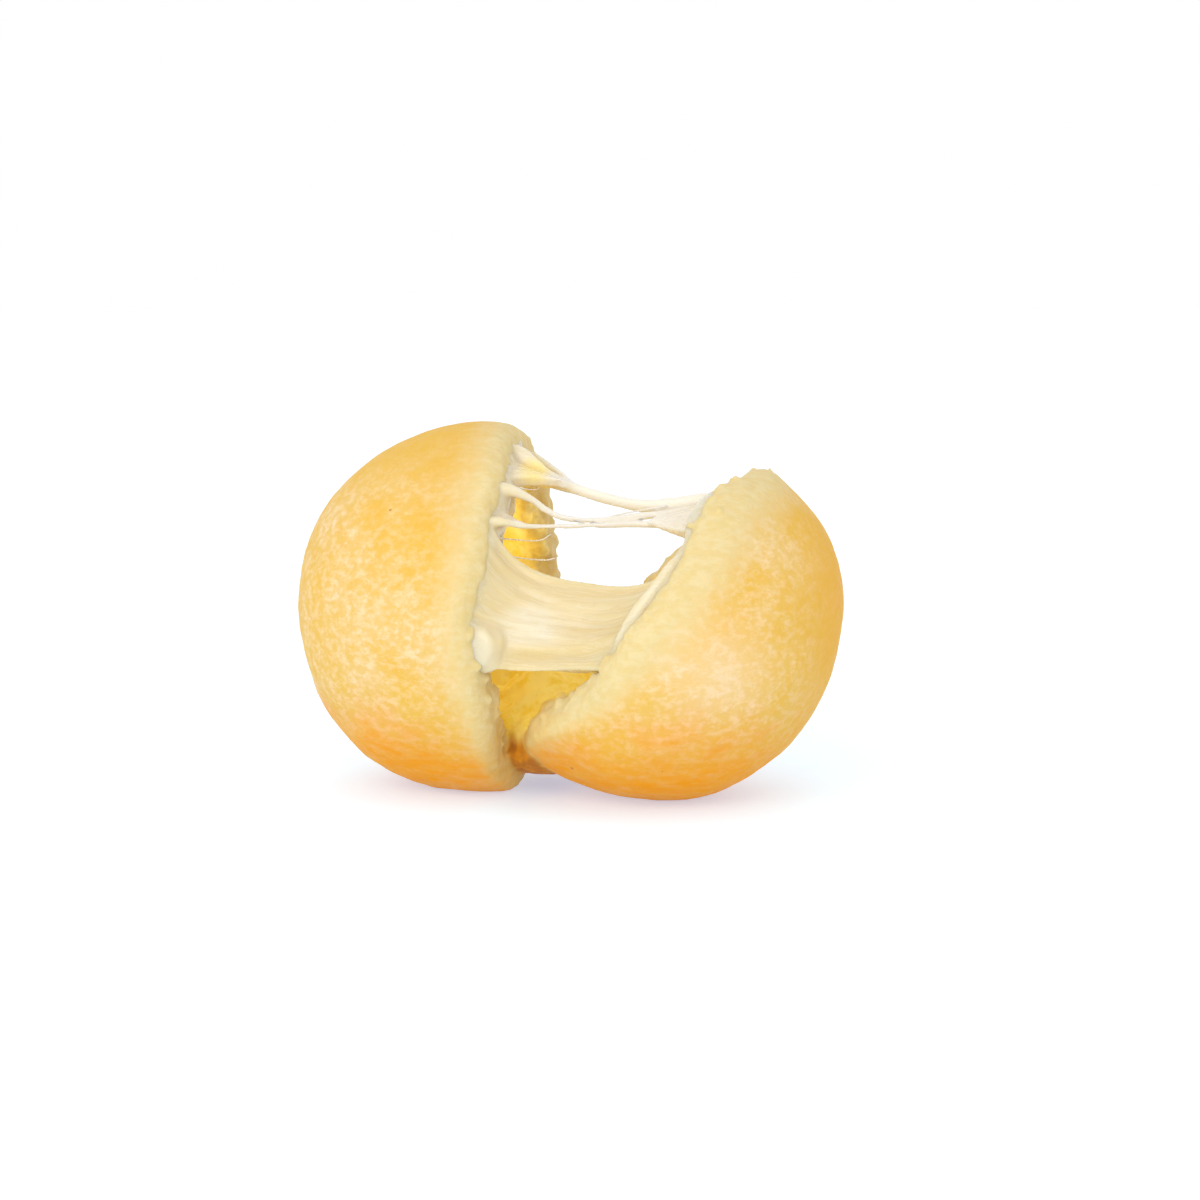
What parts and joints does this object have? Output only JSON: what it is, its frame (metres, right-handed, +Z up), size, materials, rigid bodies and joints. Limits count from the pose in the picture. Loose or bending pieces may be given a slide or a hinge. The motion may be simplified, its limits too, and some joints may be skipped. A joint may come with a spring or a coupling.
{
  "type": "cassava cheese bite",
  "caption": "Round baked cassava cheese bread pulled open, with melted cheese stretched between its joined halves.",
  "frame": {"origin": "middle of the underside of the whole bite's box, where the bite rests", "axes": "+Z up, +X across the tear from the left half to the right half, -Y towards the side that shows the cheese web"},
  "size_m": [0.0666, 0.0518, 0.0451],
  "materials": {
    "baked_dough": "matt golden baked crust, paler and softer where it is torn",
    "melted_cheese": "glossy, slightly see-through melted cheese"
  },
  "bodies": {
    "root": {"torn_dough": "baked_dough", "melted_cheese": "melted_cheese"}
  },
  "joints": []
}
